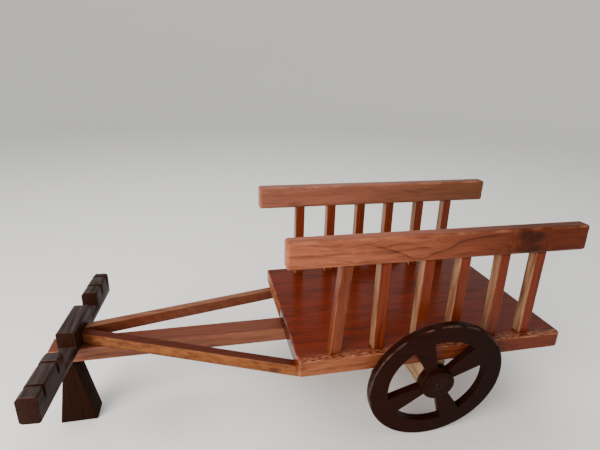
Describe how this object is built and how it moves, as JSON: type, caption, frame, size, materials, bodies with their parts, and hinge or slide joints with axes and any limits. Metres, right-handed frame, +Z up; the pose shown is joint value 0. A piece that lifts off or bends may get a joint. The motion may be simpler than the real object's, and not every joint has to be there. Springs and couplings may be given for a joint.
{
  "type": "wooden bullock cart",
  "caption": "Hand-made wooden bullock cart for a table or serving counter: railed plank deck, cambered spoked disc wheels, and a drawbar with a carved yoke on a prop.",
  "frame": {"origin": "on the supporting surface, under the middle of the cart's bounding box; the deck's middle line is Y = 0", "axes": "+Z up, +X from the yoke towards the open tail, +Y towards the cart's right side"},
  "size_m": [0.5628, 0.2522, 0.2374],
  "materials": {
    "varnished_deck_wood": "glossy varnish",
    "varnished_rail_wood": "glossy varnish",
    "varnished_baluster_wood": "glossy varnish",
    "varnished_drawbar_wood": "satin varnish",
    "pale_block_wood": "satin varnish",
    "plain_dowel_wood": "bare",
    "dark_stained_wheel_wood": "dark stain, satin varnish",
    "dark_stained_yoke_wood": "dark stain, satin varnish",
    "steel": "bright"
  },
  "bodies": {
    "cart_frame": {"axle_block": "pale_block_wood", "axle_block_screws": "steel", "brace_nails": "steel", "drawbar_pole": "varnished_drawbar_wood", "left_axle_screw": "steel", "left_baluster_1": "varnished_baluster_wood", "left_baluster_2": "varnished_baluster_wood", "left_baluster_3": "varnished_baluster_wood", "left_baluster_4": "varnished_baluster_wood", "left_baluster_5": "varnished_baluster_wood", "left_baluster_6": "varnished_baluster_wood", "left_brace": "varnished_drawbar_wood", "left_deck_board": "varnished_deck_wood", "left_foot_dowels": "plain_dowel_wood", "left_head_dowels": "plain_dowel_wood", "left_rail": "varnished_rail_wood", "left_washer": "steel", "pole_screws": "steel", "prop": "dark_stained_yoke_wood", "prop_dowel": "plain_dowel_wood", "right_axle_screw": "steel", "right_baluster_1": "varnished_baluster_wood", "right_baluster_2": "varnished_baluster_wood", "right_baluster_3": "varnished_baluster_wood", "right_baluster_4": "varnished_baluster_wood", "right_baluster_5": "varnished_baluster_wood", "right_baluster_6": "varnished_baluster_wood", "right_brace": "varnished_drawbar_wood", "right_deck_board": "varnished_deck_wood", "right_foot_dowels": "plain_dowel_wood", "right_head_dowels": "plain_dowel_wood", "right_rail": "varnished_rail_wood", "right_washer": "steel", "yoke": "dark_stained_yoke_wood", "yoke_screws": "steel"},
    "left_wheel": {"left_wheel": "dark_stained_wheel_wood", "left_hub_cap": "dark_stained_wheel_wood"},
    "right_wheel": {"right_wheel": "dark_stained_wheel_wood", "right_hub_cap": "dark_stained_wheel_wood"}
  },
  "joints": [
    {"name": "left_wheel_spin", "type": "hinge", "parent": "cart_frame", "child": "left_wheel", "pos_m": [0.1191, -0.1175, 0.07432], "axis": [0, -0.9932, -0.1167], "continuous": true},
    {"name": "right_wheel_spin", "type": "hinge", "parent": "cart_frame", "child": "right_wheel", "pos_m": [0.1191, 0.1175, 0.07432], "axis": [0, 0.9932, -0.1167], "continuous": true}
  ]
}
